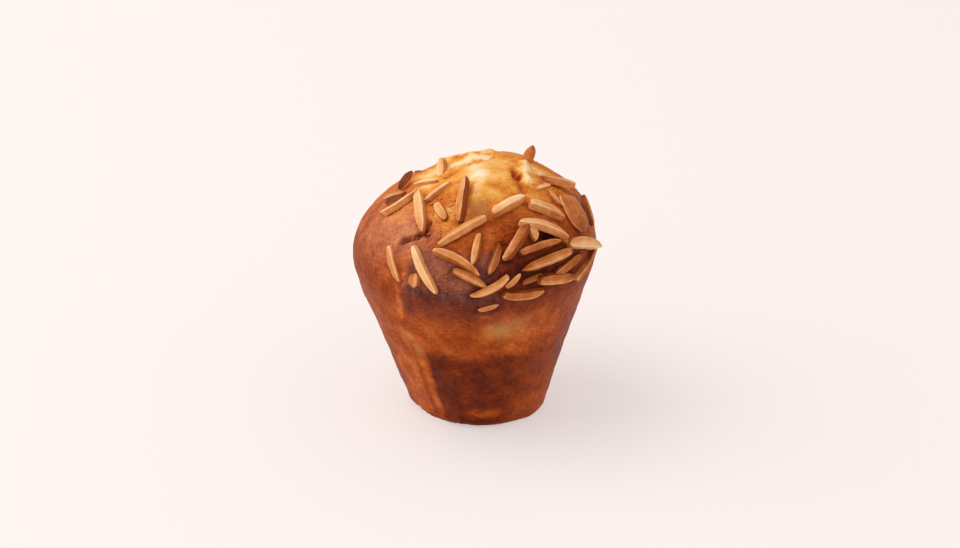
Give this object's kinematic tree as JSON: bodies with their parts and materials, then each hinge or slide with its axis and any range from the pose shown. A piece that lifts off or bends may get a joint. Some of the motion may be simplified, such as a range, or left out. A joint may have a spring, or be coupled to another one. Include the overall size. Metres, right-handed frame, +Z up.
{
  "type": "almond muffin",
  "caption": "Tulip-shaped muffin, widest at its shoulder, with a burst crown strewn with roasted almond slivers.",
  "frame": {"origin": "centre of the flat foot that the muffin stands on", "axes": "+Z up through the crown, -Y towards the side that the picture shows"},
  "size_m": [0.0883, 0.0918, 0.0951],
  "materials": {
    "crust": "matte",
    "roasted_almond": "satin"
  },
  "bodies": {
    "root": {"almond_muffin": "crust"}
  },
  "joints": []
}
